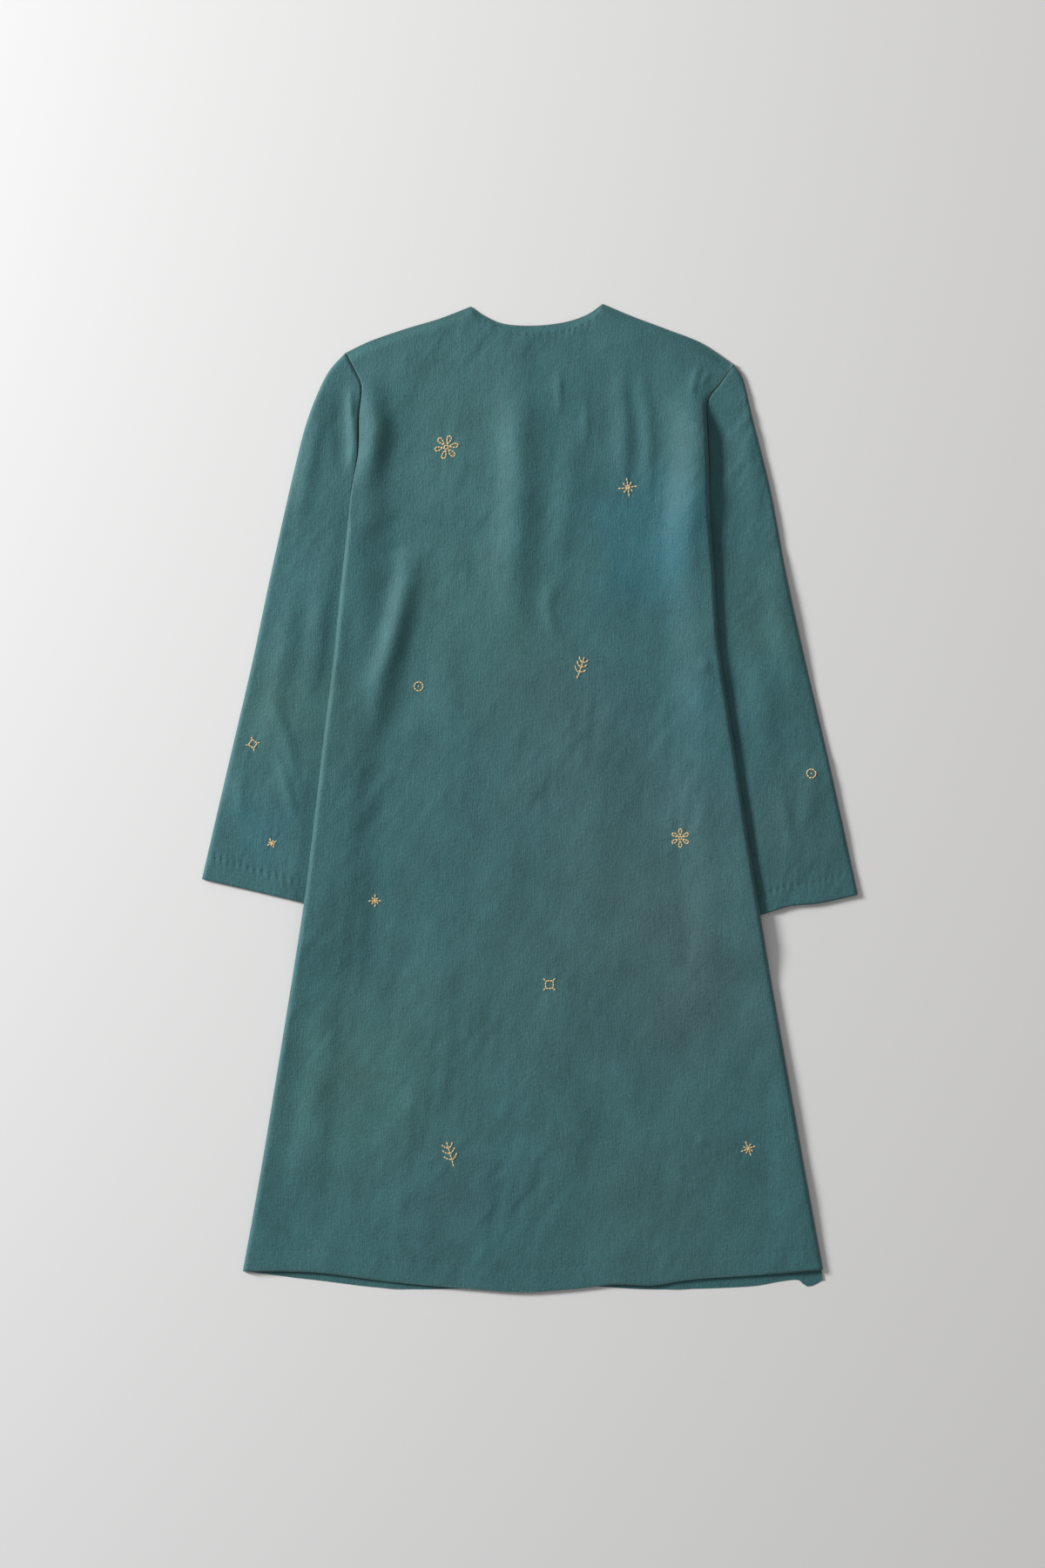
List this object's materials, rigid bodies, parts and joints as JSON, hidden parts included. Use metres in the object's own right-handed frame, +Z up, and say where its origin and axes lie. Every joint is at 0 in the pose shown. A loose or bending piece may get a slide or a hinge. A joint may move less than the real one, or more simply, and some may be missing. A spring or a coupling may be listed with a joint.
{
  "type": "kurta tunic",
  "caption": "Long-sleeved A-line kurta tunic in teal hand-dyed silk, laid flat with its back up, with small scattered tan embroidery.",
  "frame": {"origin": "middle of the box of the laid-out tunic, on the surface that it lies on", "axes": "+X towards the tunic's right sleeve, +Y towards the neck, +Z up from the surface"},
  "size_m": [0.7536, 1.1338, 0.0144],
  "materials": {
    "cloth": "soft sheen",
    "thread": "matte"
  },
  "bodies": {
    "root": {"back": "cloth", "front": "cloth", "sleeve_left": "cloth", "sleeve_right": "cloth", "pocket_left": "cloth", "pocket_right": "cloth"}
  },
  "joints": []
}
